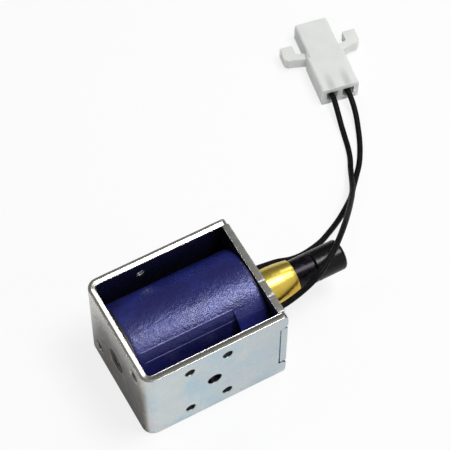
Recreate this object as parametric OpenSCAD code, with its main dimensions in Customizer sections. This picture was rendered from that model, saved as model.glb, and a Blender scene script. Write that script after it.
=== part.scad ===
// Open-frame push-pull solenoid with two loose leads and a two-way nylon plug.
// Millimetres, +Z up. X runs along the plunger, which comes out on the +X side.
// The origin lies under the middle of the solenoid, on the surface it stands on.
// Stations along X are counted from the outer face of the yoke's closed wall.

/* [Yoke] */
// Length of the yoke along the plunger
yoke_l = 38; // [38:0.5:42]
// Width over the two side walls
yoke_w = 31; // [31:0.5:34]
// Height of the strip that the yoke is folded from
yoke_h = 27; // [27:0.5:30]
// Thickness of the yoke strip and the end plate
sheet_t = 1.8; // [1.6:0.1:1.8]
// Outer radius of the two folds
bend_r = 3; // [2.5:0.5:4]

/* [Fixing holes] */
// Tapping radius of the side-wall screws
side_hole_r = 1.3; // [1.2:0.05:1.5]
// Spacing of the front screws along X
front_pitch_x = 10; // [8:0.5:12]
// Spacing of the side-wall screws along Z
side_pitch_z = 18; // [16:0.5:19]
// Station of the middle of the front screws
front_holes_x = 16.8; // [15:0.1:18]
// Station of the rear screws
rear_holes_x = 14.2; // [12:0.1:18]
// Station of the locating hole in the front wall
locating_x = 18.3; // [17:0.1:20]
// Radius of the locating hole
locating_r = 1.85; // [1.5:0.05:2]
// Tapping radius of the two screws in the closed wall
end_hole_r = 1.65; // [1.5:0.05:1.7]

/* [Coil] */
// Outer radius of the taped coil
coil_r = 13.2; // [13:0.1:13.3]
// Station where the raised band over the lead splices begins
band_x = 28; // [27:0.5:29]
// Thickness of the bobbin flange that carries the leads
lead_flange_t = 2.3; // [2.2:0.1:2.5]

/* [Guide sleeve and plunger] */
// Inner radius of the brass guide sleeve
bore_r = 4.5; // [4.3:0.05:4.5]
// Wall of the guide sleeve
sleeve_wall = 0.45; // [0.4:0.05:0.45]
// How far the sleeve stands out of the end plate
sleeve_out = 10.3; // [9.8:0.1:10.6]
// Radius of the plunger's neck outside the sleeve
neck_r = 3.95; // [3.5:0.05:3.95]
// Travel of the plunger
stroke = 5; // [4:0.5:5]
// Length of the rubber cap
cap_l = 8; // [7:0.5:10]
// Radius of the push pin
pin_r = 1.25; // [1:0.05:1.25]
// Turns of the return spring
spring_turns = 9; // [7:1:9]

/* [Leads] */
// Outer diameter of a lead
lead_d = 1.5; // [1.3:0.1:1.5]
// Distance of each lead's exit from the plunger axis
lead_y = 6.2; // [6.2:0.1:6.4]

/* [Plug] */
// Length of the plug housing
plug_l = 23; // [22:0.5:25]
// Width of the plug's wire half
plug_w = 10.4; // [10.4:0.1:11]
// Width of the plug's nose
nose_w = 9.1; // [8.4:0.1:9.5]
// Height of the plug
plug_h = 6.2; // [6:0.1:6.4]
// Pitch of the two contacts
contact_pitch = 4.5; // [4.4:0.1:4.5]

/* [Hidden] */
$fn = 96;
cut = 1;                              // how far a cutting tool runs past a face
fit = 0.02;                           // gap between pieces that are pressed together
run = 0.08;                           // radial play of a sliding fit

axis_z = yoke_h / 2;
inner_x = sheet_t;                    // inner face of the closed wall
plate_x = yoke_l - sheet_t;           // inner face of the end plate
inner_w = yoke_w - 2 * sheet_t;
tab_h = 16.4;                         // height of the end plate's side tabs
tab_play = 0.05;
ear_r = 1.2;                          // rounding of the ears' outer corners
end_hole_y = 9.6;                     // the closed wall's screws lie on a diagonal
end_hole_z = 8.4;
nick_y = [-8.5, -4];                  // punched nicks in the end plate's top edge
nick = 0.4;

sleeve_r = bore_r + sleeve_wall;
sleeve_end = yoke_l + sleeve_out;
neck_end = sleeve_end + stroke + 0.7; // shoulder that the cap sits against
overall_l = neck_end + cap_l;

rivet_r = 3.2;                        // spigot of the core, riveted into the wall
core_r = bore_r - fit;
core_end = 18.1;
seat_x = 14.9;                        // floor of the core's conical seat
seat_r = 2.9;
seat_mouth_r = 4.1;
washer_t = 0.3;
tip_x = seat_x + washer_t + stroke + 0.1;
tip_r = 2.7;
plunger_r = bore_r - run;
tip_l = (plunger_r - tip_r) * (core_end - seat_x) / (seat_mouth_r - seat_r);
pocket_r = 2.1;                       // spring pocket in the plunger
pocket_end = 29;
pin_end = 37;
pin_rest = 0.4;                       // the pin's tip waits this far inside the wall
mouth_l = 1.3;                        // straight part of the sleeve's swaged mouth
seat_l = 2.4;                         // inner cone behind it, which holds the plunger
shoulder_x = sleeve_end - mouth_l - seat_l - 0.15;
spigot_r = 2.6;                       // plunger spigot inside the cap
spigot_l = 5.5;
// Outside of the swaged end: how much narrower it is, and how far from the end.
swage = [[0, 5.6], [0.12, 3.4], [0.4, 1], [0.52, 0.15], [0.65, 0]];
spring_wire = 0.35;
spring_r = 1.7;                       // mean radius of the spring

tube_r = sleeve_r + fit;              // bobbin tube
tube_wall = 0.9;
flange_x = inner_x + 0.8;             // inner face of the thin flange
splice_flange_x = plate_x - 0.1 - lead_flange_t;
thin_flange_r = coil_r - 0.2;
lead_flange_r = coil_r - 0.5;
winding_r = 11.95;
low_winding_r = 10.3;                 // the winding is lower under the splices
tape_end_x = plate_x - 0.5;
splice_y = 11.5;
splice_r = 1;
splice_l = 4.6;
channel_w = lead_d + 0.2;
lead_r = lead_d / 2;
notch_h = 2.4;                        // side notches of the end plate's hole
notch_y = lead_y + 1.15;
exit_x = yoke_l - overall_l / 2;      // where the leads leave the end plate

// Depth of the stretch where the tape is drawn flat over the start of the winding:
// pairs of angle from the top towards the front, and depth.
crease = [[27, 0], [40, 0.45], [58, 1], [80, 1.1], [100, 1], [118, 0.5], [130, 0]];
crease_steps = 24;

plug_at = [60, 47.7];                // middle of the plug's wire end on the floor
plug_turn = -10;
nose_x = 13;                          // where the plug's wire half ends
plug_round = 0.7;                     // rounding of the plug's long edges
// Plan of one panel-lock wing, an arm with a snap block: pairs of distance from the
// plug's middle and distance from its wire end.
wing = [[8.4, 13.1], [9.7, 13.1], [10.7, 14.1], [10.7, 17.8], [7.2, 17.8], [7.2, 14.8]];
wing_root = [12.2, 14.2];             // where the arm starts and ends on the wire half
wing_t = 3.4;
contact_z = plug_h / 2;
cavity_w = 3.1;                       // square passage for a contact
contact_in = 1.5;                     // depth at which a lead meets its contact
barrel_r = 1.1;                       // crimp barrel of a contact
barrel_l = 5;
socket_y = 12;                        // where a contact's socket starts
socket_r = 0.9;

// Routes of the free leads, from the end plate to the plug's contacts. They leave
// straight, the front one leans over the cap, and both come down to the floor.
lie_z = lead_r + 0.05;
function plug_point(side, along) = [
    plug_at[0] + side * contact_pitch / 2 * cos(plug_turn) - along * sin(plug_turn),
    plug_at[1] + side * contact_pitch / 2 * sin(plug_turn) + along * cos(plug_turn),
    contact_z];
rear_route = [[exit_x, lead_y, axis_z], [10, 6.2, 13.5], [13.5, 6.3, 12.6],
    [17, 6.4, 11.4], [20.5, 6.2, 9.9], [24, 6.6, 8.6], [27.5, 7.4, 7.7], [31, 8.6, 6.8],
    [34, 10.2, 5.9], [37, 12, 4.8], [40, 14, 3.8], [43.2, 16.4, 2.8], [46.2, 18.9, 1.9],
    [48.6, 21.6, 1.2], [51.2, 24.4, lie_z], [53.8, 27.3, lie_z], [55.9, 30.4, lie_z],
    [57.7, 33.6, lie_z], [59.2, 36.8, 1], [60.5, 40, 1.6], [61.4, 43, 2.4],
    plug_point(1, -1.5), plug_point(1, contact_in)];
front_route = [[exit_x, -lead_y, axis_z], [10, -6.2, 13.8], [13, -6.2, 14.6],
    [16, -6.1, 15.9], [18.7, -5.9, 17.4], [21, -5.4, 18.6], [23.4, -4.4, 19.2],
    [26, -2.7, 19.3], [28.6, -0.9, 19.1], [31, 1.2, 18.5], [33.5, 3.6, 17.2],
    [36, 6.2, 15.4], [38.4, 8.9, 13.1], [40.8, 11.7, 10.7], [43, 14.4, 8.4],
    [45.2, 17.2, 6.3], [47.2, 20.2, 4.4], [49, 23.4, 2.8], [50.7, 26.6, 1.7],
    [52.5, 29.8, 1], [53.8, 33, lie_z], [54.8, 36.3, lie_z], [55.7, 39.6, 1.2],
    [56.6, 43, 2.2], plug_point(-1, -1.5), plug_point(-1, contact_in)];

// Children drawn in the coordinates of the stations: X from the closed wall.
module stations() {
    translate([-overall_l / 2, 0, axis_z]) children();
}

// A body of revolution on the plunger axis, from [radius, station] points.
module turned(profile) {
    stations() rotate([0, 90, 0]) rotate_extrude() polygon(profile);
}

// A round bar along X between two stations.
module bar(x0, x1, r, y = 0, z = 0) {
    stations() translate([x0, y, z]) rotate([0, 90, 0]) cylinder(h = x1 - x0, r = r);
}

// A block in station coordinates, from its lowest corner.
module block(x, y, z, size) {
    stations() translate([x, y, z]) cube(size);
}

// Plan of the yoke's folded strip, drawn at a distance inside its outer face.
module folded_plan(inset) {
    straight_w = yoke_w - 2 * bend_r;
    for (side = [-1, 1])
        translate([bend_r, side * straight_w / 2]) circle(r = bend_r - inset);
    translate([bend_r, -yoke_w / 2 + inset])
        square([yoke_l - bend_r + (inset > 0 ? cut : 0), yoke_w - 2 * inset]);
    translate([inset, -straight_w / 2]) square([bend_r, straight_w]);
}

// A screw hole with a broken edge, drilled along +Y from the outer face y = 0.
module side_hole(r, x, z, outer_y, dir) {
    mouth = 0.3;
    stations() translate([x, outer_y, z]) rotate([-90 * dir, 0, 0]) {
        translate([0, 0, -cut]) cylinder(h = sheet_t + 2 * cut, r = r);
        translate([0, 0, -0.01]) cylinder(h = mouth, r1 = r + mouth, r2 = r);
    }
}

// A screw hole in the closed wall, with a broken edge outside.
module end_hole(y, z) {
    mouth = 0.35;
    bar(-cut, sheet_t + cut, end_hole_r, y, z);
    stations() translate([-0.01, y, z]) rotate([0, 90, 0])
        cylinder(h = mouth, r1 = end_hole_r + mouth, r2 = end_hole_r);
}

// Punch marks that lock the riveted core end.
module punch_marks() {
    depth = 0.5;
    for (turn = [35, 125, 215, 305])
        stations() rotate([turn, 0, 0]) translate([-0.01, 0, rivet_r + 1.3])
            rotate([0, 90, 0]) cylinder(h = depth, r1 = 0.6, r2 = 0.15, $fn = 24);
}

// Rounds the outer corners of the two side walls' free ends.
module ear_corners() {
    for (level = [-1, 1])
        stations() translate([yoke_l - ear_r, 0, level * (axis_z - ear_r)])
            rotate([90, 0, 0]) difference() {
                translate([0, level > 0 ? 0 : -2 * ear_r, -yoke_w])
                    cube([2 * ear_r, 2 * ear_r, 2 * yoke_w]);
                cylinder(h = 2 * yoke_w + cut, r = ear_r, center = true);
            }
}

module yoke() {
    color("silver") difference() {
        translate([-overall_l / 2, 0, 0]) linear_extrude(yoke_h) difference() {
            folded_plan(0);
            folded_plan(sheet_t);
        }
        for (x = [-1, 1], z = [-1, 1])
            side_hole(side_hole_r, front_holes_x + x * front_pitch_x / 2,
                z * side_pitch_z / 2, -yoke_w / 2, 1);
        side_hole(locating_r, locating_x, 0, -yoke_w / 2, 1);
        for (z = [-1, 1])
            side_hole(side_hole_r, rear_holes_x, z * side_pitch_z / 2, yoke_w / 2, -1);
        for (side = [-1, 1]) end_hole(side * end_hole_y, -side * end_hole_z);
        bar(-cut, sheet_t + cut, rivet_r + fit);
        punch_marks();
        block(plate_x, -yoke_w, -tab_h / 2 - tab_play,
            [sheet_t + cut, 2 * yoke_w, tab_h + 2 * tab_play]);
        ear_corners();
    }
}

module end_plate() {
    color("lightsteelblue") difference() {
        union() {
            block(plate_x, -inner_w / 2 + fit, -axis_z,
                [sheet_t, inner_w - 2 * fit, yoke_h]);
            block(plate_x, -yoke_w / 2, -tab_h / 2, [sheet_t, yoke_w, tab_h]);
        }
        bar(plate_x - cut, yoke_l + cut, sleeve_r + fit);
        block(plate_x - cut, -notch_y, -notch_h / 2,
            [sheet_t + 2 * cut, 2 * notch_y, notch_h]);
        for (y = nick_y)
            stations() translate([plate_x - cut, y, axis_z]) rotate([45, 0, 0])
                translate([0, -nick / 2, -nick / 2])
                    cube([sheet_t + 2 * cut, nick, nick]);
    }
}

module stop_core() {
    pin_bore = pin_r + run;
    color("dimgray") turned([
        [pin_bore, 0.05], [rivet_r - 0.3, 0.05], [rivet_r, 0.35], [rivet_r, sheet_t],
        [core_r, sheet_t], [core_r, core_end], [seat_mouth_r, core_end],
        [seat_r, seat_x], [pin_bore, seat_x]]);
}

module residual_washer() {
    color("goldenrod") turned([
        [pin_r + 2 * run, seat_x], [seat_r - fit, seat_x],
        [seat_r - fit, seat_x + washer_t], [pin_r + 2 * run, seat_x + washer_t]]);
}

module bobbin() {
    outer = tube_r + tube_wall;
    lead_face = plate_x - 0.1;
    channel_x = lead_face - channel_w;
    color("black") difference() {
        turned([
            [tube_r, inner_x + 0.1], [thin_flange_r, inner_x + 0.1],
            [thin_flange_r, flange_x], [outer, flange_x],
            [outer, splice_flange_x], [lead_flange_r, splice_flange_x],
            [lead_flange_r, lead_face], [tube_r, lead_face]]);
        for (side = [-1, 1]) {
            // room behind the screws of the closed wall
            bar(0, flange_x + 0.01, end_hole_r + 1, side * end_hole_y, -side * end_hole_z);
            // channel from the plate's notch out to the rim, and the slot to the splice
            block(channel_x, side > 0 ? lead_y - lead_r - 0.1 : -coil_r, -channel_w / 2,
                [channel_w + cut, coil_r - lead_y + lead_r + 0.1, channel_w]);
            block(splice_flange_x - cut,
                side > 0 ? splice_y - channel_w / 2 : -coil_r, -channel_w / 2,
                [lead_flange_t + 2 * cut, coil_r - splice_y + channel_w / 2, channel_w]);
        }
    }
}

module coil_winding() {
    inner = tube_r + tube_wall + fit;
    color("chocolate") turned([
        [inner, flange_x + fit], [winding_r, flange_x + fit], [winding_r, band_x],
        [low_winding_r, band_x], [low_winding_r, splice_flange_x - fit],
        [inner, splice_flange_x - fit]]);
}

module splice_wrap() {
    color("khaki") difference() {
        turned([
            [low_winding_r + fit, band_x + fit], [lead_flange_r, band_x + fit],
            [lead_flange_r, splice_flange_x - fit],
            [low_winding_r + fit, splice_flange_x - fit]]);
        for (side = [-1, 1])
            bar(splice_flange_x - splice_l - 2 * fit, plate_x, splice_r + fit,
                side * splice_y);
    }
}

module splice(side) {
    bar(splice_flange_x - splice_l, splice_flange_x, splice_r, side * splice_y);
}
module splice_front() { color("dimgray") splice(-1); }
module splice_rear() { color("dimgray") splice(1); }

// The stretch that the tape spans flat between the flange and the raised band.
module creased_zone() {
    far = coil_r + 2;
    first = crease[0][0];
    step = (crease[len(crease) - 1][0] - first) / crease_steps;
    turns = [for (i = [0:crease_steps]) first + i * step];
    stations() translate([flange_x - cut, 0, 0]) rotate([90, 0, 90])
        linear_extrude(band_x - flange_x + cut) polygon(concat(
            [for (a = turns) (coil_r - lookup(a, crease)) * [-sin(a), cos(a)]],
            [for (i = [crease_steps:-1:0]) far * [-sin(turns[i]), cos(turns[i])]]));
}

module winding_tape() {
    under = lead_flange_r + fit;
    color("darkslateblue") difference() {
        turned([
            [winding_r + fit, flange_x + fit], [coil_r, flange_x + fit],
            [coil_r, tape_end_x], [under, tape_end_x], [under, band_x + fit],
            [winding_r + fit, band_x + fit]]);
        creased_zone();
    }
}

module guide_sleeve() {
    mouth_r = neck_r + run;
    color("gold") turned(concat(
        [[bore_r, inner_x + 0.1], [sleeve_r, inner_x + 0.1]],
        [for (s = swage) [sleeve_r - s[0], sleeve_end - s[1]]],
        [[mouth_r, sleeve_end], [mouth_r, sleeve_end - mouth_l],
         [bore_r, sleeve_end - mouth_l - seat_l]]));
}

// A moulded bush in a side notch of the end plate, bored for one lead.
module lead_bush(side) {
    inner_y = sqrt(pow(sleeve_r + fit, 2) - pow(notch_h / 2, 2));
    width = notch_y - inner_y - fit;
    difference() {
        block(plate_x - 0.1, side > 0 ? inner_y : -inner_y - width, -notch_h / 2 + fit,
            [sheet_t + 0.1, width, notch_h - 2 * fit]);
        bar(plate_x - cut, yoke_l + cut, sleeve_r + fit);
        bar(plate_x - cut, yoke_l + cut, lead_r + fit, side * lead_y);
    }
}
module lead_bush_front() { color("ivory") lead_bush(-1); }
module lead_bush_rear() { color("ivory") lead_bush(1); }

// The held stretch of a lead: through the bush, out along the flange, to its splice.
module lead_tail(side) {
    turn_x = plate_x - 0.1 - channel_w / 2;
    bar(turn_x, yoke_l, lead_r, side * lead_y);
    bar(splice_flange_x, turn_x, lead_r, side * splice_y);
    stations() translate([turn_x, side * lead_y, 0]) rotate([-90 * side, 0, 0])
        cylinder(h = splice_y - lead_y, r = lead_r);
    for (y = [lead_y, splice_y])
        stations() translate([turn_x, side * y, 0]) sphere(r = lead_r, $fn = 32);
}
module lead_tail_front() { color([0.08, 0.08, 0.08]) lead_tail(-1); }
module lead_tail_rear() { color([0.08, 0.08, 0.08]) lead_tail(1); }

// Direction of a route at its point i, and a ring of eight points across it.
function along(route, i) = let (d = route[min(i + 1, len(route) - 1)] - route[max(i - 1, 0)])
    d / norm(d);
function ring_at(route, i, sides) = let (
    d = i == 0 ? [1, 0, 0] : along(route, i),
    across = cross(d, [0, 0, 1]) / norm(cross(d, [0, 0, 1])),
    over = cross(across, d))
    [for (k = [0:sides - 1]) let (a = 360 * (k + 0.5) / sides)
        route[i] + lead_r * (across * cos(a) + over * sin(a))];

// A lead swept along its route with flat end faces.
module lead(route) {
    sides = 8;
    last = len(route) - 1;
    rings = [for (i = [0:last]) each ring_at(route, i, sides)];
    skin = [for (i = [0:last - 1], k = [0:sides - 1]) let (n = (k + 1) % sides)
        [i * sides + k, i * sides + n, (i + 1) * sides + n, (i + 1) * sides + k]];
    near_face = [for (k = [sides - 1:-1:0]) k];
    far_face = [for (k = [0:sides - 1]) last * sides + k];
    polyhedron(points = rings, faces = concat(skin, [near_face], [far_face]));
}
module lead_front() { color([0.08, 0.08, 0.08]) lead(front_route); }
module lead_rear() { color([0.08, 0.08, 0.08]) lead(rear_route); }

// Children drawn in the plug's own coordinates: Y from its wire end to its nose.
module on_plug() {
    translate([plug_at[0], plug_at[1], 0]) rotate([0, 0, plug_turn]) children();
}

// A block with rounded long edges, from y0 to y1, centred on x.
module rounded_bar(width, height, y0, y1, z0, r) {
    translate([0, y1, z0]) rotate([90, 0, 0]) linear_extrude(y1 - y0) {
        for (x = [-1, 1], z = [r, height - r])
            translate([x * (width / 2 - r), z]) circle(r = r, $fn = 32);
        translate([-width / 2 + r, 0]) square([width - 2 * r, height]);
        translate([-width / 2, r]) square([width, height - 2 * r]);
    }
}

module plug_housing() {
    mouth = 2.5;
    mouth_y = plug_l - 2.2;
    shoulder = 1.4;
    wing_foot = plug_w / 2 - 0.4;
    color("whitesmoke") on_plug() difference() {
        union() {
            rounded_bar(plug_w, plug_h, 0, nose_x - shoulder, 0, plug_round);
            rounded_bar(nose_w, plug_h - 0.4, nose_x - 2 * shoulder, plug_l, 0.2, plug_round);
            // sloping shoulders between the wide half and the nose
            translate([0, 0, plug_round]) linear_extrude(plug_h - 2 * plug_round) polygon([
                [-plug_w / 2, nose_x - shoulder - 0.1], [plug_w / 2, nose_x - shoulder - 0.1],
                [nose_w / 2, nose_x + shoulder], [-nose_w / 2, nose_x + shoulder]]);
            for (side = [0, 1]) mirror([side, 0, 0])
                translate([0, 0, (plug_h - wing_t) / 2]) linear_extrude(wing_t)
                    polygon(concat([[wing_foot, wing_root[0]]], wing,
                        [[wing_foot, wing_root[1]]]));
        }
        for (side = [-1, 1]) {
            translate([side * contact_pitch / 2 - cavity_w / 2, -cut, contact_z - cavity_w / 2])
                cube([cavity_w, mouth_y + cut, cavity_w]);
            translate([side * contact_pitch / 2 - mouth / 2, 0, contact_z - mouth / 2])
                cube([mouth, plug_l + cut, mouth]);
        }
    }
}

// A crimped socket contact: wire barrel, neck and a square socket with a round bore.
module contact(side) {
    socket_w = cavity_w - 2 * fit;
    on_plug() translate([side * contact_pitch / 2, 0, contact_z]) difference() {
        union() {
            translate([0, contact_in, 0]) rotate([-90, 0, 0])
                cylinder(h = barrel_l, r = barrel_r);
            translate([-0.7, contact_in + barrel_l - 1, -0.9])
                cube([1.4, socket_y - barrel_l + 1, 0.7]);
            translate([-socket_w / 2, socket_y - 1, -socket_w / 2])
                cube([socket_w, plug_l - socket_y - 1.5, socket_w]);
        }
        translate([0, socket_y, 0]) rotate([-90, 0, 0]) cylinder(h = plug_l, r = socket_r);
    }
}
module contact_front() { color("gainsboro") contact(-1); }
module contact_rear() { color("gainsboro") contact(1); }

module plunger() {
    color([0.16, 0.15, 0.17]) turned([
        [pocket_r, tip_x], [tip_r, tip_x], [plunger_r, tip_x + tip_l],
        [plunger_r, shoulder_x], [neck_r, shoulder_x + seat_l],
        [neck_r, neck_end - 0.3], [neck_r - 0.3, neck_end], [spigot_r, neck_end],
        [spigot_r, neck_end + spigot_l], [0, neck_end + spigot_l], [0, pin_end],
        [pin_r, pin_end], [pin_r, pocket_end], [pocket_r, pocket_end]]);
}

module push_pin() {
    tip = 0.3;
    color("lightgray") turned([
        [0, pin_rest], [pin_r - tip, pin_rest], [pin_r, pin_rest + tip],
        [pin_r, pin_end], [0, pin_end]]);
}

// A round-wire compression spring from the washer to the floor of the plunger's pocket.
module return_spring() {
    sides = 6;
    steps = 16;
    rise = pocket_end - seat_x - washer_t - 2 * spring_wire;
    count = spring_turns * steps;
    start = seat_x + washer_t + spring_wire;
    rings = [for (i = [0:count]) let (a = 360 * i / steps, x = start + rise * i / count)
        each [for (k = [0:sides - 1]) let (
                b = 360 * k / sides,
                r = spring_r + spring_wire / 2 * cos(b))
            [x + spring_wire / 2 * sin(b), r * cos(a), r * sin(a)]]];
    skin = [for (i = [0:count - 1], k = [0:sides - 1]) let (n = (k + 1) % sides)
        [i * sides + k, i * sides + n, (i + 1) * sides + n, (i + 1) * sides + k]];
    near_face = [for (k = [sides - 1:-1:0]) k];
    far_face = [for (k = [0:sides - 1]) count * sides + k];
    color("lightgray") stations()
        polyhedron(points = rings, faces = concat(skin, [near_face], [far_face]));
}

module plunger_cap() {
    round_r = 0.9;
    color([0.07, 0.07, 0.07]) turned(concat(
        [[0, neck_end + spigot_l], [spigot_r, neck_end + spigot_l], [spigot_r, neck_end],
         [neck_r - 0.3, neck_end], [neck_r, neck_end + 0.3]],
        [for (a = [0:15:90]) [neck_r - round_r * (1 - cos(a)),
            overall_l - round_r * (1 - sin(a))]],
        [[0, overall_l]]));
}

yoke();
end_plate();
stop_core();
residual_washer();
bobbin();
coil_winding();
splice_wrap();
splice_front();
splice_rear();
winding_tape();
guide_sleeve();
lead_bush_front();
lead_bush_rear();
lead_tail_front();
lead_tail_rear();
lead_front();
lead_rear();
plug_housing();
contact_front();
contact_rear();
plunger();
push_pin();
return_spring();
plunger_cap();
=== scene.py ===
# Open-frame push-pull solenoid: camera and leads first, then each piece in its finish.
# X runs along the plunger. A station is the distance in millimetres along X from the
# outer face of the yoke's closed wall, and a turn is counted about the plunger axis,
# from the top towards the front wall. Shapes are drawn in (station, y, height above the
# axis), and addMesh moves them to the datum. Leads, plug and floor are in the frame's own
# coordinates.
from math import cos, pi, radians, sin, sqrt

import bmesh
import bpy
import numpy as np
from mathutils import Matrix, Vector


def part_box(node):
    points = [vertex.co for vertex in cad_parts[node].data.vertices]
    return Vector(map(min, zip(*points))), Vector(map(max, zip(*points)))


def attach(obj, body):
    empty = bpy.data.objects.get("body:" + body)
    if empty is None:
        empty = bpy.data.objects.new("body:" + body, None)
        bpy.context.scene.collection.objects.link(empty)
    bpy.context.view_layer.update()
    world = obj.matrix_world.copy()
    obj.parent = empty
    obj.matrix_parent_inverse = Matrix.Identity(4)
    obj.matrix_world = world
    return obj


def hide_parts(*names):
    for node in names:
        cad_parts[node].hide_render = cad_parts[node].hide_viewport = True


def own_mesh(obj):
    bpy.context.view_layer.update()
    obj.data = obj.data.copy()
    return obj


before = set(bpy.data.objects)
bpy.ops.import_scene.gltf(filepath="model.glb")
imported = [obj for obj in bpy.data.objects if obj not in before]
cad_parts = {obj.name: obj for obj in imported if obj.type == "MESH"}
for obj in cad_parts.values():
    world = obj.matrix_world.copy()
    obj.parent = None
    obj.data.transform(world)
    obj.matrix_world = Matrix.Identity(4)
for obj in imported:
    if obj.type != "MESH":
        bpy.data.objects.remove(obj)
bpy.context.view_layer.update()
scene = bpy.context.scene
scene.view_settings.view_transform = "Standard"

mm = 0.001
yokeLow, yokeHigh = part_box("yoke")
plateLow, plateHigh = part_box("end_plate")
axisZ = (yokeLow.z + yokeHigh.z) / 2
datum = (yokeLow.x / mm, 0, axisZ / mm)
sheet = (plateHigh.x - plateLow.x) / mm
yokeLength, yokeWidth, yokeHeight = ((high - low) / mm for low, high in zip(yokeLow, yokeHigh))
halfWidth, halfHeight = yokeWidth / 2, yokeHeight / 2


def span(node):
    # The stations where a node starts and ends.
    return [(corner.x - yokeLow.x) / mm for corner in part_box(node)]


def radiusOf(node):
    low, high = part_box(node)
    return (high.y - low.y) / mm / 2


# Camera
# The camera circles the middle of the yoke: turn about Z, tilt above the floor, roll,
# then a small slide to the right and up in its own picture plane.
cameraPlace = {"turn": -29.305, "tilt": 58.267, "roll": 0.409, "distance": 460.24,
               "slideRight": 9.263, "slideUp": 24.585, "lens": 153.31}


def addCamera(place):
    turn, tilt, roll = (radians(place[key]) for key in ("turn", "tilt", "roll"))
    back = Vector((sin(turn) * cos(tilt), -cos(turn) * cos(tilt), sin(tilt)))
    level = Vector((cos(turn), sin(turn), 0))
    upright = back.cross(level)
    right = level * cos(roll) + upright * sin(roll)
    up = upright * cos(roll) - level * sin(roll)
    middle = (yokeLow + yokeHigh) / 2
    spot = middle + (back * place["distance"] + right * place["slideRight"]
                     + up * place["slideUp"]) * mm
    lens = bpy.data.cameras.new("camera")
    lens.lens = place["lens"]
    lens.clip_start, lens.clip_end = 0.01, 20
    camera = bpy.data.objects.new("camera", lens)
    facing = Matrix((right, up, back)).transposed().to_4x4()
    camera.matrix_world = Matrix.Translation(spot) @ facing
    scene.collection.objects.link(camera)
    scene.camera = camera


addCamera(cameraPlace)


# Meshes from arrays
def circle(steps):
    return np.linspace(0, 2 * pi, steps, endpoint=False)


def ringFaces(rings, sides, closeRings=False):
    # Quads between neighbouring rings of that many points, and from the last ring to the
    # first where they are closed.
    ring = np.arange(rings if closeRings else rings - 1)[:, None]
    side = np.arange(sides)
    here, there, nextSide = ring * sides, (ring + 1) % rings * sides, (side + 1) % sides
    corners = [here + side, here + nextSide, there + nextSide, there + side]
    return np.stack(corners, -1).reshape(-1, 4).tolist()


def rod(rings):
    # A row of rings with quads between them and a cap at each end.
    count, sides = rings.shape[:2]
    last = (count - 1) * sides
    caps = [list(range(sides)), list(range(last, last + sides))]
    return rings, ringFaces(count, sides) + caps


def tidyMesh(mesh, flat=False):
    # Merges doubles, drops loose edges and slivers, and turns the faces outwards.
    mergeWithin, shortestEdge, sliverArea = 1e-6, 1e-7, 1e-8  # in metres
    work = bmesh.new()
    work.from_mesh(mesh)
    bmesh.ops.remove_doubles(work, verts=work.verts, dist=mergeWithin)
    bmesh.ops.dissolve_degenerate(work, edges=work.edges, dist=shortestEdge)
    bmesh.ops.delete(work, geom=[edge for edge in work.edges if edge.is_wire], context="EDGES")
    slivers = [face for face in work.faces if face.calc_area() < sliverArea
               and sum(edge.is_boundary for edge in face.edges) > 1]
    bmesh.ops.delete(work, geom=slivers, context="FACES")
    if flat:
        bmesh.ops.dissolve_limit(work, angle_limit=radians(0.5), verts=work.verts, edges=work.edges)
    bmesh.ops.recalc_face_normals(work, faces=work.faces)
    work.to_mesh(mesh)
    work.free()


def addMesh(name, points, faces, marks=None, origin=datum):
    # Points in millimetres from the origin become a mesh in metres. Marks are named
    # values per point that a finish may read.
    mesh = bpy.data.meshes.new(name)
    points = np.asarray(points, float).reshape(-1, 3) + origin
    mesh.from_pydata((points * mm).tolist(), [], faces)
    for key, values in (marks or {}).items():
        layer = mesh.attributes.new(key, "FLOAT", "POINT")
        layer.data.foreach_set("value", np.asarray(values, np.float32).ravel())
    tidyMesh(mesh)
    piece = bpy.data.objects.new(name, mesh)
    scene.collection.objects.link(piece)
    return piece


def applyModifiers(piece):
    # Bakes the modifiers so far into the mesh.
    layer = bpy.context.evaluated_depsgraph_get()
    mesh = bpy.data.meshes.new_from_object(piece.evaluated_get(layer))
    piece.modifiers.clear()
    piece.data = mesh


def carve(piece, shapes):
    # Takes the shapes out of the piece.
    cutter = addMesh("cutter", *gather(shapes))
    cut = piece.modifiers.new("cut", "BOOLEAN")
    cut.operation, cut.solver, cut.object = "DIFFERENCE", "EXACT", cutter
    cut.use_self = True
    applyModifiers(piece)
    tidyMesh(piece.data)
    bpy.data.objects.remove(cutter)


def dress(piece, finish, slotName, *stands, body="frame", angle=35):
    # Gives the piece its finish, and smooth shading between faces that meet below the
    # angle, held flat on large faces. It stands for the nodes named.
    piece.data.shade_smooth()
    piece.data.set_sharp_from_angle(angle=radians(angle))
    weigh = piece.modifiers.new("weights", "WEIGHTED_NORMAL")
    weigh.keep_sharp = True
    weigh.weight = 90
    piece.data.materials.clear()
    piece.data.materials.append(finish)
    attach(piece, body)
    if stands:
        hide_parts(*stands)


def filleted(corners, radii, steps=4):
    # Each corner becomes an arc that touches both of its sides: its centre lies on the
    # bisector, and the arc runs at even angles between the two touching points.
    corners = np.asarray(corners, float)
    out = []
    for i, (corner, radius) in enumerate(zip(corners, radii)):
        if radius <= 0:
            out.append(corner)
            continue
        toLast = corners[i - 1] - corner
        toNext = corners[(i + 1) % len(corners)] - corner
        toLast, toNext = toLast / np.linalg.norm(toLast), toNext / np.linalg.norm(toNext)
        half = np.arccos(np.clip(toLast @ toNext, -1, 1)) / 2
        centre = corner + (toLast + toNext) / np.linalg.norm(toLast + toNext) * radius / np.sin(half)
        first = corner + toLast * radius / np.tan(half) - centre
        last = corner + toNext * radius / np.tan(half) - centre
        share = np.linspace(0, 1, steps + 1)[:, None]
        sweep = pi - 2 * half
        arc = (np.sin((1 - share) * sweep) * first + np.sin(share * sweep) * last) / np.sin(sweep)
        out.extend(centre + arc)
    return np.array(out)


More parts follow.
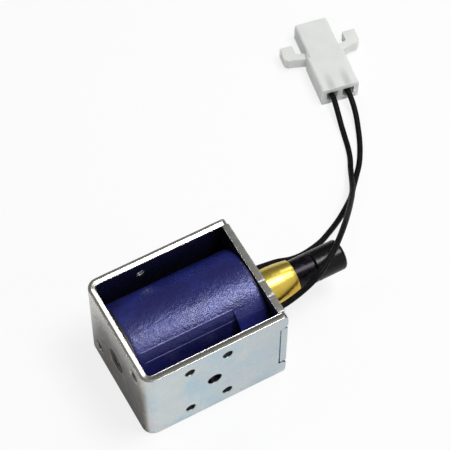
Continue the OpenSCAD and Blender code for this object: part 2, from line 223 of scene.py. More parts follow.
def ripple(u, v, seed, longest, shortest, waves=14):
    # Smooth random relief between about -1 and 1: a sum of plane waves of random
    # direction, phase and length.
    dice = np.random.default_rng(seed)
    total = 0
    for _ in range(waves):
        length = dice.uniform(shortest, longest)
        way, phase = dice.uniform(0, 2 * pi, 2)
        total = total + np.sin(2 * pi / length * (u * cos(way) + v * sin(way)) + phase)
    return total / sqrt(waves)


# Shader nodes
class Wire:
    # An output socket whose sums become Math nodes.
    def __init__(self, nodes, socket):
        self.nodes, self.socket = nodes, socket

    def sum(self, operation, *values):
        return self.nodes.add("ShaderNodeMath", {"operation": operation}, dict(enumerate(values)))

    def __add__(self, other):
        return self.sum("ADD", self, other)

    def __sub__(self, other):
        return self.sum("SUBTRACT", self, other)

    def __rsub__(self, other):
        return self.sum("SUBTRACT", other, self)

    def __mul__(self, other):
        return self.sum("MULTIPLY", self, other)

    def __abs__(self):
        return self.sum("ABSOLUTE", self)

    __radd__ = __add__
    __rmul__ = __mul__


class Nodes:
    # The node tree of a material or world.
    def __init__(self, tree):
        self.tree = tree

    def add(self, kind, settings=None, values=None, output=0):
        # A node of that type, its settings first, then its sockets' values or links.
        node = self.tree.nodes.new(kind)
        for key, value in (settings or {}).items():
            setattr(node, key, value)
        for key, value in (values or {}).items():
            if isinstance(value, Wire):
                self.tree.links.new(value.socket, node.inputs[key])
            else:
                node.inputs[key].default_value = value
        return Wire(self, node.outputs[output])

    def place(self, stretch=(1, 1, 1)):
        # Object coordinates in millimetres, stretched along each axis.
        point = self.add("ShaderNodeTexCoord", output="Object")
        return self.add("ShaderNodeMapping", values={
            "Vector": point, "Scale": [share / mm for share in stretch]})

    def axis(self, vector, name):
        return self.add("ShaderNodeSeparateXYZ", values={"Vector": vector}, output=name)

    def along(self, name):
        # The station (X), the y (Y) or the height above the plunger axis (Z).
        return self.axis(self.place(), name) - datum["XYZ".index(name)]

    def noise(self, size, detail=2, stretch=(1, 1, 1), roughness=0.5):
        # Fractal noise from 0 to 1 whose grains are about that many millimetres.
        return self.add("ShaderNodeTexNoise", values={
            "Vector": self.place(stretch), "Scale": 1 / size, "Detail": detail,
            "Roughness": roughness})

    def step(self, value, start, end, low=0, high=1):
        # Rises smoothly from low at start to high at end.
        return self.add("ShaderNodeMapRange", {"interpolation_type": "SMOOTHSTEP"}, {
            "Value": value, "From Min": start, "From Max": end, "To Min": low, "To Max": high})

    def ray(self, kind):
        return self.add("ShaderNodeLightPath", output="Is " + kind + " Ray")

    def mark(self, name):
        return self.add("ShaderNodeAttribute", {"attribute_name": name}, output="Fac")

    def mix(self, share, first, second):
        # The first colour gives way to the second as the share goes from 0 to 1.
        first, second = (end if isinstance(end, Wire) else (*end, 1) for end in (first, second))
        return self.add("ShaderNodeMix", {"data_type": "RGBA"}, {0: share, 6: first, 7: second}, 2)


class Finish(Nodes):
    # A material with the given constants on its Principled shader.
    def __init__(self, name, constants):
        self.material = bpy.data.materials.new(name)
        self.material.use_nodes = True
        super().__init__(self.material.node_tree)
        self.shader = self.tree.nodes["Principled BSDF"]
        for key, value in constants.items():
            self.shader.inputs[key].default_value = value

    def surface(self, look, rough, height, **layers):
        # Each layer's colour lies over the look's own by its share. The relief is that many
        # millimetres deep where the height runs from 0 to 1.
        tone = look["colour"]
        for name, share in layers.items():
            tone = self.mix(share, tone, look[name])
        relief = self.add("ShaderNodeBump", output="Normal", values={
            "Height": height, "Distance": look["relief"] * mm})
        links = {"Base Color": tone, "Roughness": look["roughness"] + rough, "Normal": relief}
        for key, wire in links.items():
            self.tree.links.new(wire.socket, self.shader.inputs[key])
        return self.material

    def clouded(self, look, shadeShare=0):
        # Soft-edged clouds over a fine grain. The other colour and the roughness follow
        # both, each by its share, and the grain is the relief.
        size, detail, start, end = look["clouds"]
        clouds = self.step(self.noise(size, detail), start, end)
        grain = self.noise(*look["grain"])
        share, rough = (clouds * look[key][0] + grain * look[key][1] for key in ("shares", "rough"))
        # the shade share adds painted shade to the other colour's share
        return self.surface(look, rough, grain, other=share + shadeShare)


# Leads
leadLook = {"diameter": 1.5, "sides": 20, "perSpan": 8,
            "colour": (0.004, 0.004, 0.005), "pale": (0.012, 0.012, 0.013),
            "roughness": 0.42, "grain": 0.22, "relief": 0.02}
plugPlace = {"x": 60, "y": 47.7, "turn": -10, "contactHeight": 3.1, "pitch": 4.5,
             "wireDepth": 1.5}


def plugPoint(side, along):
    # A point on a contact's centre line, so far into the plug from its wire end.
    turn = radians(plugPlace["turn"])
    across = side * plugPlace["pitch"] / 2
    return (plugPlace["x"] + across * cos(turn) - along * sin(turn),
            plugPlace["y"] + across * sin(turn) + along * cos(turn), plugPlace["contactHeight"])


rearRoute = [(7, 6.2, 13.5), (10, 6.2, 13.5), (13.5, 6.3, 12.6), (17, 6.4, 11.4),
             (20.5, 6.2, 9.9), (24, 6.6, 8.6), (27.5, 7.4, 7.7), (31, 8.6, 6.8),
             (34, 10.2, 5.9), (37, 12, 4.8), (40, 14, 3.8), (43.2, 16.4, 2.8),
             (46.2, 18.9, 1.9), (48.6, 21.6, 1.2), (51.2, 24.4, 0.8), (53.8, 27.3, 0.8),
             (55.9, 30.4, 0.8), (57.7, 33.6, 0.8), (59.2, 36.8, 1), (60.5, 40, 1.6),
             (61.4, 43, 2.4), plugPoint(1, -1.5), plugPoint(1, plugPlace["wireDepth"])]
frontRoute = [(7, -6.2, 13.5), (10, -6.2, 13.8), (13, -6.2, 14.6), (16, -6.1, 15.9),
              (18.7, -5.9, 17.4), (21, -5.4, 18.6), (23.4, -4.4, 19.2), (26, -2.7, 19.3),
              (28.6, -0.9, 19.1), (31, 1.2, 18.5), (33.5, 3.6, 17.2), (36, 6.2, 15.4),
              (38.4, 8.9, 13.1), (40.8, 11.7, 10.7), (43, 14.4, 8.4), (45.2, 17.2, 6.3),
              (47.2, 20.2, 4.4), (49, 23.4, 2.8), (50.7, 26.6, 1.7), (52.5, 29.8, 1),
              (53.8, 33, 0.8), (54.8, 36.3, 0.8), (55.7, 39.6, 1.2), (56.6, 43, 2.2),
              plugPoint(-1, -1.5), plugPoint(-1, plugPlace["wireDepth"])]


def splined(route, perSpan):
    # A smooth line through the route: in each span the point is the cubic that meets
    # both ends with the slope of the chord between their neighbours.
    p = np.array(route, float)
    p = np.vstack([2 * p[0] - p[1], p, 2 * p[-1] - p[-2]])
    t = np.linspace(0, 1, perSpan, endpoint=False)[None, :, None]
    a, b, c, d = (p[i:len(p) - 3 + i, None, :] for i in range(4))
    line = 0.5 * (2 * b + (c - a) * t + (2 * a - 5 * b + 4 * c - d) * t ** 2
                  + (3 * b - a - 3 * c + d) * t ** 3)
    return np.vstack([line.reshape(-1, 3), p[-2]])


def tube(line, radius, sides):
    # Rings across the line: point = centre + radius (across cos a + over sin a), where
    # across is level and over is square to it and to the line.
    way = np.gradient(line, axis=0)
    way /= np.linalg.norm(way, axis=1)[:, None]
    across = np.cross(way, (0, 0, 1))
    across /= np.linalg.norm(across, axis=1)[:, None]
    over = np.cross(across, way)
    a = circle(sides)[None, :, None]
    return rod(line[:, None] + radius * (across[:, None] * np.cos(a) + over[:, None] * np.sin(a)))


def pvcFinish(look):
    nodes = Finish("black_pvc", {"Specular IOR Level": 0.08})
    patches = nodes.step(nodes.noise(0.9, 3), 0.42, 0.68)
    specks = nodes.step(nodes.noise(look["grain"], 2), 0.5, 0.72)
    return nodes.surface(look, 0.12 * nodes.noise(0.5, 2), nodes.noise(look["grain"], 3),
                         pale=patches * 0.6 + specks * 0.4)


blackPvc = pvcFinish(leadLook)


def addLead(name, node, route):
    line = splined(route, leadLook["perSpan"])
    rings, faces = tube(line, leadLook["diameter"] / 2, leadLook["sides"])
    lead = addMesh(name, rings, faces, origin=(0, 0, 0))
    dress(lead, blackPvc, "black_pvc", node, angle=60)
    length = float(np.linalg.norm(np.diff(line, axis=0), axis=1).sum())
    print("lead", name, round(length, 1), "mm")
    [v * mm for v in route[0]]


print("camera and routes ready")


# Yoke
yokeLook = {"foldRadius": 3.0, "dieRoll": 0.2, "fractureFrom": 0.75, "fractureDrop": 0.22,
            "burr": 0.06, "earRadius": 1.2, "endRounding": 0.15, "wobble": 0.02,
            "notchHeight": 16.7, "seam": 0.35, "seamDepth": 0.7, "relieved": 1.1}
sideHoles = {"radius": 1.3, "mouth": 0.3, "frontMiddle": 16.8, "frontPitch": 10, "rear": 14.2,
             "pitchUp": 18, "locating": 18.3, "locatingRadius": 1.85, "locatingMouth": 0.2,
             "threadPitch": 0.5}
endHoles = {"radius": 1.65, "mouth": 0.55, "aside": 9.6, "up": 8.4, "threadPitch": 0.7}
rivetHole = {"radius": 3.22, "mouth": 0.12}
punchMarks = {"turns": (35, 125, 215, 305), "away": 1.3, "radius": 0.15, "mouth": 0.7,
              "depth": 0.75}


def stripSection(look):
    # Section of the blanked strip in (depth from the outer face, height): a rolled
    # outer edge, a bright land, a sloping break and a small burr on the inner edge.
    top = halfHeight
    drop, burr = look["fractureDrop"], look["burr"]
    upper = [(0, top), (look["fractureFrom"], top), (sheet - 0.18, top - drop),
             (sheet - 0.06, top - drop + burr), (sheet, top - drop - 0.05)]
    radii = [look["dieRoll"], 0.3, 0.05, 0.03, 0.05]
    lower = [(depth, -height) for depth, height in reversed(upper)]
    return filleted(upper + lower, radii + radii[::-1])


def foldedStrip(look):
    # The section carried along the U-shaped plan, from the front wall's free end over
    # both folds to the rear wall's: straight, quarter turn, straight, quarter turn,
    # straight. Near the free ends the height gives way to the round ears, and the last
    # rings draw in by radius (1 - cos) to round the end.
    fold = look["foldRadius"]
    straight = yokeLength - fold
    across = yokeWidth - 2 * fold
    arc = np.linspace(0, pi / 2, 13)
    endArc = np.linspace(0, pi / 2, 4)
    ends = straight - look["endRounding"] * (1 - np.cos(endArc))
    rounding = look["endRounding"] * (1 - np.sin(endArc))
    ear = look["earRadius"] * (1 - np.cos(np.linspace(0, pi / 2, 12)))
    runs = np.unique(np.round(np.r_[ends, straight - ear, np.linspace(0, straight, 36)], 4))[::-1]
    front = np.stack([fold + runs, np.full_like(runs, -halfWidth)], 1)[:-1]
    foldWay = np.stack([np.sin(arc), np.cos(arc)], 1)
    side = np.vstack([front, (fold, fold - halfWidth) - fold * foldWay])
    sideWay = np.vstack([np.tile((0.0, 1.0), (len(front), 1)), foldWay])
    closedY = np.linspace(-across / 2, across / 2, 28)[1:-1]
    closed = np.stack([np.zeros_like(closedY), closedY], 1)
    closedWay = np.tile((1.0, 0.0), (len(closedY), 1))
    plan = np.vstack([side, closed, side[::-1] * (1, -1)])
    inward = np.vstack([sideWay, closedWay, sideWay[::-1] * (1, -1)])
    fromEnd = np.clip(yokeLength - plan[:, 0], 0, None)
    inEar = np.clip(look["earRadius"] - fromEnd, 0, None)
    cutback = look["earRadius"] - np.sqrt(look["earRadius"] ** 2 - inEar ** 2)
    nearEnd = np.interp(fromEnd, straight - ends, rounding, right=0)
    depth, height = stripSection(look).T
    middle = sheet / 2
    depth = middle + (depth - middle) * (1 - nearEnd / middle)[:, None]
    run = np.r_[0, np.cumsum(np.linalg.norm(np.diff(plan, axis=0), axis=1))][:, None]
    wobble = look["wobble"] * (np.clip(ripple(run, height, 5, 9, 1.5), -1, 1) - 1)
    height = height + np.sign(height) * (wobble - (cutback + nearEnd)[:, None])
    return rod(np.stack([plan[:, :1] + inward[:, :1] * depth, plan[:, 1:] + inward[:, 1:] * depth,
                         height], -1))


def standing(points, station, y, height, inward):
    # Puts a shape drawn along its own axis at a hole: depth runs along inward.
    depth, a, b = points[..., 0], points[..., 1], points[..., 2]
    if inward[0]:
        local = np.stack([depth * inward[0], a, b], -1)
    else:
        local = np.stack([a, depth * inward[1], b], -1)
    return local + (station, y, height)


def hole(radius, mouth, station, y, height, inward, through=sheet + 1, steps=48):
    # Cutter for a hole that starts at a face: the bore, and a mouth that rolls into the
    # face along a quarter circle.
    roll = np.linspace(0, pi / 2, 6)
    bend = np.stack([mouth * (1 - np.cos(roll)), radius + mouth * (1 - np.sin(roll))], 1)
    profile = np.vstack([[(-1, 0)], [(-1, radius + mouth)], bend, [(through, radius)], [(through, 0)]])
    turn = circle(steps)
    depth, reach = profile[:, :1], profile[:, 1:]
    points = np.stack([depth + 0 * turn, reach * np.cos(turn), reach * np.sin(turn)], -1)
    return standing(points, station, y, height, inward), ringFaces(len(profile), steps)


def screwHoles():
    # Every screw hole: radius, mouth, station, y, height, way in, thread pitch.
    side, end = sideHoles, endHoles
    up = side["pitchUp"] / 2
    holes = [(side["radius"], side["mouth"], side["frontMiddle"] + a * side["frontPitch"] / 2,
              -halfWidth, b * up, (0, 1), side["threadPitch"]) for a in (-1, 1) for b in (-1, 1)]
    holes += [(side["radius"], side["mouth"], side["rear"], halfWidth, b * up, (0, -1),
               side["threadPitch"]) for b in (-1, 1)]
    holes += [(end["radius"], end["mouth"], 0, a * end["aside"], -a * end["up"], (1, 0),
               end["threadPitch"]) for a in (-1, 1)]
    return holes


def boxShape(low, high):
    x, y, z = zip(low, high)
    points = np.array([(a, b, c) for a in x for b in y for c in z], float)
    faces = [[0, 1, 3, 2], [4, 6, 7, 5], [0, 4, 5, 1], [2, 3, 7, 6], [0, 2, 6, 4], [1, 5, 7, 3]]
    return points, faces


def diamond(size, side, height):
    # A square bar along Y through a side wall at the yoke's free end, stood on its edge.
    points, faces = boxShape((-size / 2, -2, -size / 2), (size / 2, 2, size / 2))
    x, y, z = points.T
    return np.stack([x + z + yokeLength, y + side * halfWidth, x - z + height], 1), faces


def gather(shapes):
    # Joins shapes into one list of points and faces.
    points, faces, count = [], [], 0
    for shape, its in shapes:
        flat = np.asarray(shape, float).reshape(-1, 3)
        points.append(flat)
        faces.extend([[i + count for i in face] for face in its])
        count += len(flat)
    return np.vstack(points), faces


def yokeCutters(look):
    shapes = [hole(*screw[:-1]) for screw in screwHoles()]
    shapes.append(hole(sideHoles["locatingRadius"], sideHoles["locatingMouth"],
                       sideHoles["locating"], -halfWidth, 0, (0, 1)))
    shapes.append(hole(rivetHole["radius"], rivetHole["mouth"], 0, 0, 0, (1, 0)))
    # round-nosed dents that lock the riveted core
    away = rivetHole["radius"] + punchMarks["away"]
    shapes += [hole(punchMarks["radius"], punchMarks["mouth"], 0, -away * sin(turn),
                    away * cos(turn), (1, 0), punchMarks["depth"], 24)
               for turn in np.radians(punchMarks["turns"])]
    # the notches for the end plate's tabs: tight inside, with an open seam in the outer
    # skin and relieved corners at the free end
    half, floor = look["notchHeight"] / 2, yokeLength - sheet
    shapes.append(boxShape((floor - 0.01, -halfWidth - 1, -half), (yokeLength + 1, halfWidth + 1, half)))
    for side in (-1, 1):
        inner, outer = sorted((side * (halfWidth - look["seamDepth"]), side * (halfWidth + 1)))
        shapes.append(boxShape((floor - look["seam"], inner, -half), (floor + 0.2, outer, half)))
        shapes += [diamond(look["relieved"], side, up * half) for up in (-1, 1)]
    return shapes


# Zinc-plated sheet
zincLook = {"colour": (0.64, 0.68, 0.685), "blue": (0.49, 0.635, 0.705),
            "pink": (0.66, 0.62, 0.67), "green": (0.57, 0.70, 0.66), "dim": (0.45, 0.51, 0.54),
            "warm": (0.66, 0.655, 0.59), "brown": (0.19, 0.16, 0.14),
            "inside": (0.18, 0.175, 0.18), "bore": (0.05, 0.045, 0.045),
            "rim": (0.48, 0.465, 0.42), "pit": (0.28, 0.29, 0.31), "pressed": (0.5, 0.5, 0.52),
            "pressLine": 14.3, "roughness": 0.18, "rimRoughness": 0.14, "relief": 0.010}


def zincFinish(look):
    nodes = Finish("zinc_plate", {"Metallic": 1.0})
    step, noise = nodes.step, nodes.noise
    station, y, up = (nodes.along(name) for name in "XYZ")
    aside, height = abs(y), abs(up)
    facing = nodes.add("ShaderNodeNewGeometry", output="Normal")
    faceX, faceY, faceZ = (abs(nodes.axis(facing, name)) for name in "XYZ")
    plate, wall, rim = yokeLength - sheet, halfWidth - sheet, halfHeight - 1.3
    # passivation film: broad clouds of blue, pink and green over the zinc
    blue = step(noise(9, 2), 0.33, 0.62)
    pink = step(noise(10, 2, (1.3, 1, 1)), 0.42, 0.72)
    green = step(noise(8, 2, (1, 1, 1.4)), 0.45, 0.75)
    # the closed wall is warmer, and lower down and round the riveted core it is painted brown and
    # blotched: painted shade for the shadowed floor that it mirrors
    closed = step(station, 1.1, 0.05)
    blotch = step(noise(1.6, 4, (1, 1, 1), 0.6), 0.3, 0.7, 0.72, 1)
    lowerShade = closed * blotch * step(up, 13, 3) * step(y, 15, 6)
    # the inner faces are painted darker: painted shade for the dark coil and bobbin that they mirror
    inside = step(aside, wall + 0.25, wall + 0.03) * step(station, sheet - 0.25, sheet - 0.03)
    inside = inside * step(station, plate + 0.25, plate + 0.03)
    # cut edges look up or down and are duller than the rolled faces
    edge = step(faceZ, 0.5, 0.9) * step(height, rim, rim + 0.6)
    # the bores of the holes are painted dark, painted shade inside them, and the tabs' joints are dark too
    sideBoreShade = step(faceY, 0.4, 0.12) * step(station, 3.2, 3.6) * step(station, plate - 0.5, plate - 0.8)
    endBoreShade = step(faceX, 0.4, 0.12) * step(station, 1.9, 1.6) * step(aside, 12.4, 12.1)
    joint = step(faceZ, 0.4, 0.7) * step(station, plate - 0.7, plate - 0.4) * step(aside, wall - 0.3, wall)
    bore = (sideBoreShade + endBoreShade + joint) * step(height, rim, rim - 0.4)
    # small pits, and the pale line that the press left across the front wall
    pits = step(noise(0.55, 2), 0.70, 0.76) * (1 - edge)
    line = step(abs(station - look["pressLine"]), 0.25, 0.0) * step(y, -14, -15)
    rough = 0.10 * noise(3, 3) + 0.12 * noise(0.25, 3) - 0.05 * line
    rough = rough + edge * (look["rimRoughness"] - look["roughness"])
    grit = noise(0.18, 3) + 0.6 * noise(0.9, 2) - 1.5 * pits
    # from station 8 towards the end plate the zinc is painted darker: painted shade
    return nodes.surface(look, rough, grit * (1 - 0.85 * edge) * (1 + 1.2 * closed), blue=blue,
                         pink=pink * 0.5, green=green * 0.45, dim=step(station, 8, plate + 3) * 0.55,
                         warm=closed * 0.9, brown=lowerShade * 0.9, inside=inside * 0.9, rim=edge,
                         bore=bore, pit=pits * 0.7, pressed=line * 0.25)


zincPlate = zincFinish(zincLook)
yoke = addMesh("folded_yoke", *foldedStrip(yokeLook))
carve(yoke, yokeCutters(yokeLook))
dress(yoke, zincPlate, "zinc_plate", "yoke")
print("yoke folded and drilled")


# Steel and tin
# fine rings across the axis under a cloudy sheen
turnedLook = {"clouds": (1.4, 3, 0.4, 0.7), "grain": (0.12, 2, (1, 0.06, 0.06)),
              "shares": (0.7, 0.3), "rough": (0.15, 0.1)}
turnedLooks = {
    "bright_steel": {"colour": (0.55, 0.55, 0.56), "other": (0.72, 0.72, 0.73),
                     "roughness": 0.22, "relief": 0.006},
    "core_steel": {"colour": (0.03, 0.028, 0.021), "other": (0.13, 0.12, 0.095),
                   "roughness": 0.42, "relief": 0.04},
    "shaded_thread_steel": {"colour": (0.04, 0.04, 0.04), "other": (0.14, 0.135, 0.13),
                     "roughness": 0.32, "relief": 0.02},
    "tinned_brass": {"colour": (0.60, 0.60, 0.58), "other": (0.78, 0.78, 0.76),
                     "roughness": 0.25, "relief": 0.01}}
brightSteel, coreSteel, shadedThreadSteel, tinned = (
    Finish(name, {"Metallic": 1.0}).clouded({**turnedLook, **look})
    for name, look in turnedLooks.items())

# Threads
# a thread starts below the outer face and stops short of the inner one; flank, flat and
# crest are shares of the pitch
threadLook = {"start": 0.3, "short": 0.25, "perTurn": 30, "flank": 0.42, "flat": 0.08,
              "crest": 0.3, "foot": 0.03, "runOut": 1.2}


def threadRidge(radius, station, y, height, inward, pitch, look=threadLook):
    # One ridge that winds into the hole: at each turn the section is a low tooth from
    # the bore's wall to its crest and back.
    turns = (sheet - look["short"] - look["start"]) / pitch
    turn = np.linspace(0, 2 * pi * turns, int(turns * look["perTurn"]))[:, None]
    rise = np.array([-look["flank"], -look["flat"], look["flat"], look["flank"]]) * pitch
    crest = look["crest"] * pitch
    tooth = np.array([-look["foot"], crest, crest, -look["foot"]])
    fade = np.clip(np.minimum(turn, turn[-1] - turn) / look["runOut"], 0.02, 1)
    depth = look["start"] + turn / (2 * pi) * pitch + rise
    reach = radius - tooth * fade
    rings = np.stack([depth, reach * np.cos(turn), reach * np.sin(turn)], -1)
    return rod(standing(rings, station, y, height, inward))


# the threads of the front and end holes take the darker steel, painted shade in the holes; the rear holes'
# threads take the bright steel, a lit copy, for a painted glint
for name, isRear, finish in (("screw_threads", False, shadedThreadSteel), ("rear_threads", True, brightSteel)):
    holes = [screw for screw in screwHoles() if (screw[3] == halfWidth) == isRear]
    threads = addMesh(name, *gather([threadRidge(radius, *place) for radius, _, *place in holes]))
    dress(threads, finish, "core_steel", angle=50)


# End plate
plateLook = {"tabHeight": 16.4, "edge": 0.14, "cornerRadius": 0.25, "sleeveHole": 4.97,
             "sleeveMouth": 0.1, "notchHeight": 2.4, "notchReach": 7.35, "nicks": (-8.5, -4),
             "nickSize": 0.4, "wobble": 0.025, "tabRelief": 0.45}
plateStart, plateEnd = span("end_plate")


def plateOutline(look):
    # Cross-shaped outline in (y, height): the plate between the walls, and its two tabs.
    inner, tab = halfWidth - sheet - 0.02, look["tabHeight"] / 2
    quarter = [(inner, halfHeight), (inner, tab), (halfWidth, tab)]
    right = quarter + [(y, -z) for y, z in reversed(quarter)]
    corners = right + [(-y, -z) for y, z in right]
    outline = filleted(corners, [look["cornerRadius"]] * len(corners), 3)
    # straight stretches get points of their own, so that the edge can waver
    steps = [np.linspace(a, b, max(2, int(np.linalg.norm(b - a) / 0.8)), endpoint=False)
             for a, b in zip(outline, np.roll(outline, -1, 0))]
    return np.vstack(steps)


def slab(outline, low, high, edge, wobble):
    # Rings of the outline from one face to the other, drawn in towards the faces along a
    # quarter circle: inset = edge (1 - sin), along the corner's own mitre.
    side = np.roll(outline, -1, 0) - outline
    side /= np.linalg.norm(side, axis=1)[:, None]
    normal = np.stack([side[:, 1], -side[:, 0]], 1)
    last = np.roll(normal, 1, 0)
    mitre = (normal + last) / (1 + (normal * last).sum(1))[:, None]
    a = np.linspace(0, pi / 2, 4)
    place = np.r_[low + edge * (1 - np.cos(a)), high - edge * (1 - np.cos(a[::-1]))]
    inset = edge * (1 - np.sin(np.r_[a, a[::-1]]))
    y, z = outline.T
    waver = wobble * (1 - np.clip(ripple(y, z, 11, 7, 1.2), -1, 1))
    area = (y * np.roll(z, -1) - z * np.roll(y, -1)).sum()
    rings = outline - np.sign(area) * mitre * (inset[:, None] + waver)[..., None]
    stations = np.broadcast_to(place[:, None, None], rings.shape[:2] + (1,))
    return rod(np.concatenate([stations, rings], -1))


def plateCutters(look):
    reach, half = look["notchReach"], look["notchHeight"] / 2
    shapes = [hole(look["sleeveHole"], look["sleeveMouth"], plateEnd, 0, 0, (-1, 0)),
              boxShape((plateStart - 1, -reach, -half), (plateEnd + 1, reach, half))]
    shapes += [diamond(look["tabRelief"], side, up * look["tabHeight"] / 2)
               for side in (-1, 1) for up in (-1, 1)]
    for place in look["nicks"]:
        # a square bar along X, stood on its edge in the upper rim
        half = look["nickSize"] * 0.707 / 2
        points, faces = boxShape((plateStart - 1, -half, -half), (plateEnd + 1, half, half))
        x, y, z = points.T
        shapes.append((np.stack([x, y - z + place, y + z + halfHeight], 1), faces))
    return shapes


plate = addMesh("notched_end_plate", *slab(plateOutline(plateLook), plateStart, plateEnd,
                                           plateLook["edge"], plateLook["wobble"]))
carve(plate, plateCutters(plateLook))
dress(plate, zincPlate, "zinc_plate", "end_plate")
print("end plate cut")


# Turned pieces
def addTurned(name, node, corners, finish, slotName, body="frame", steps=96, arcSteps=4):
    # Corners are (station, radius, rounding) in order round the section, which is turned
    # about the plunger axis: y = -radius sin(turn), height = radius cos(turn).
    corners = np.array(corners, float)
    profile = filleted(corners[:, :2], corners[:, 2], arcSteps)
    station, radius = profile[:, :1], profile[:, 1:]
    turn = circle(steps)
    points = np.stack([station + 0 * turn, -radius * np.sin(turn), radius * np.cos(turn)], -1)
    piece = addMesh(name, points, ringFaces(len(profile), steps, True))
    dress(piece, finish, slotName, node, body=body)


# drawn brass with clouds of tarnish, and deeper in colour down its sides: painted shade for the darker
# surroundings that its lower sides reflect
brassLook = {"colour": (0.80, 0.62, 0.12), "other": (0.62, 0.38, 0.05), "sides": 0.5,
             "clouds": (4.5, 2, 0.45, 0.75), "grain": (0.12, 2, (1, 0.04, 0.04)),
             "shares": (0.3, 0.15), "roughness": 0.27, "rough": (0.05, 0.08), "relief": 0.004}
drawn = Finish("brass", {"Metallic": 1.0})
brass = drawn.clouded(brassLook, drawn.step(drawn.along("Z"), 4.6, 2.2, 0, brassLook["sides"]))
sleeveLook = {"bore": 4.5, "mouth": 4.03, "mouthLength": 1.3, "cone": 2.4, "lip": 4.24}
sleeveStart, sleeveEnd = span("guide_sleeve")
sleeveRadius = radiusOf("guide_sleeve")
mouthStart = sleeveEnd - sleeveLook["mouthLength"]
coneStart = mouthStart - sleeveLook["cone"]
addTurned("brass_sleeve", "guide_sleeve", [
    (sleeveStart, sleeveLook["bore"], 0.05), (sleeveStart, sleeveRadius, 0.1),
    (sleeveEnd - 5.6, sleeveRadius, 4), (sleeveEnd - 3.4, sleeveRadius - 0.12, 4),
    (sleeveEnd - 1.0, sleeveRadius - 0.4, 0.5), (sleeveEnd, sleeveRadius - 0.56, 0.08),
    (sleeveEnd, sleeveLook["lip"], 0.03), (sleeveEnd - 0.5, sleeveLook["mouth"], 0.1),
    (mouthStart, sleeveLook["mouth"], 0.5), (coneStart, sleeveLook["bore"], 0.5)],
    brass, "brass", steps=128, arcSteps=6)

nickelLook = {"colour": (0.005, 0.004, 0.005), "other": (0.018, 0.013, 0.024),
              "clouds": (2.2, 3, 0.4, 0.7), "grain": (0.15, 2, (1, 0.05, 0.05)),
              "shares": (1, 0), "roughness": 0.20, "rough": (0.12, 0.08), "relief": 0.006}
blackNickel = Finish("black_nickel", {"Metallic": 0.6, "Specular IOR Level": 0.22}).clouded(nickelLook)
plungerLook = {"body": 4.42, "tip": 2.7, "tipLength": 4.59, "pocket": 2.1, "pocketEnd": 29,
               "pinBore": 1.25, "pinEnd": 37, "spigot": 2.6, "play": 0.15, "groove": 0.3}
plungerStart, plungerEnd = span("plunger")
capStart, capEnd = span("plunger_cap")
neckRadius = radiusOf("plunger_cap")
bar, groove = plungerLook, plungerLook["groove"]
addTurned("nickel_plunger", "plunger", [
    (plungerStart, bar["pocket"], 0.1), (plungerStart, bar["tip"], 0.2),
    (plungerStart + bar["tipLength"], bar["body"], 0.3), (coneStart - bar["play"], bar["body"], 0.3),
    (mouthStart - bar["play"], neckRadius, 0.3), (capStart - groove, neckRadius, 0.12),
    (capStart, neckRadius - groove, 0.08), (capStart, bar["spigot"], 0.05),
    (plungerEnd, bar["spigot"], 0.2), (plungerEnd, 0, 0), (bar["pinEnd"], 0, 0),
    (bar["pinEnd"], bar["pinBore"], 0.02), (bar["pocketEnd"], bar["pinBore"], 0.1),
    (bar["pocketEnd"], bar["pocket"], 0.1)],
    blackNickel, "black_nickel", "plunger")

rubberLook = {"colour": (0.002, 0.002, 0.002), "other": (0.005, 0.005, 0.005),
              "clouds": (1.6, 4, 0.5, 0.8), "grain": (0.14, 3), "shares": (0.6, 0.2),
              "roughness": 0.20, "rough": (0.15, 0.08), "relief": 0.007}
blackRubber = Finish("black_rubber", {"Specular IOR Level": 0.22}).clouded(rubberLook)
addTurned("rubber_cap", "plunger_cap", [
    (plungerEnd, 0, 0), (plungerEnd, bar["spigot"], 0.1), (capStart, bar["spigot"], 0.05),
    (capStart, neckRadius - groove, 0.08), (capStart + groove, neckRadius, 0.12),
    (capEnd, neckRadius, 0.9), (capEnd, 0, 0)],
    blackRubber, "black_rubber", "plunger", arcSteps=8)

pinStart, pinEnd = span("push_pin")
pinRadius = radiusOf("push_pin")
addTurned("steel_push_pin", "push_pin", [
    (pinStart, 0, 0), (pinStart, pinRadius, 0.3), (pinEnd, pinRadius, 0), (pinEnd, 0, 0)],
    brightSteel, "bright_steel", "plunger", 64, 6)

coreLook = {"bore": 1.33, "rivet": 3.2, "body": 4.48, "seat": 2.9, "seatMouth": 4.1,
            "seatFloor": 14.9, "groove": 0.12, "grooveFrom": 1.95, "grooveTo": 2.35}
coreStart, coreEnd = span("stop_core")
core = coreLook
addTurned("riveted_core", "stop_core", [
    (coreStart + 0.3, core["bore"], 0.1), (coreStart + 0.02, core["bore"] + 0.3, 0.12),
    (coreStart + core["groove"], core["grooveFrom"], 0.15), (coreStart, core["grooveTo"], 0.15),
    (coreStart, core["rivet"], 0.3), (sheet, core["rivet"], 0), (sheet, core["body"], 0.1),
    (coreEnd, core["body"], 0.1), (coreEnd, core["seatMouth"], 0.05),
    (core["seatFloor"], core["seat"], 0.05), (core["seatFloor"], core["bore"], 0.05)],
    coreSteel, "core_steel")
print("turned pieces made")


# Taped coil
tapeLook = {"bandStart": 28.0, "innerWinding": 11.97, "innerBand": 12.72, "ramp": 0.6,
            "ridge": 0.05, "ridgeWidth": 0.14, "creases": (30, 41.5), "waver": 0.035,
            "shoulder": 0.12, "colour": (0.012, 0.012, 0.095), "bright": (0.017, 0.024, 0.17),
            "pale": (0.26, 0.25, 0.50), "shade": (0.006, 0.006, 0.05),
            "recess": (0.001, 0.001, 0.008), "roughness": 0.19, "grain": 0.34,
            "relief": 0.08, "dabs": 1.3}
# depth of the stretch drawn flat over the winding, at turns from the top to the front
creaseTurns = np.array([28, 30, 41.5, 58, 80, 100, 118, 130])
creaseDepths = np.array([0, 0.02, 0.45, 1, 1.1, 1, 0.5, 0])


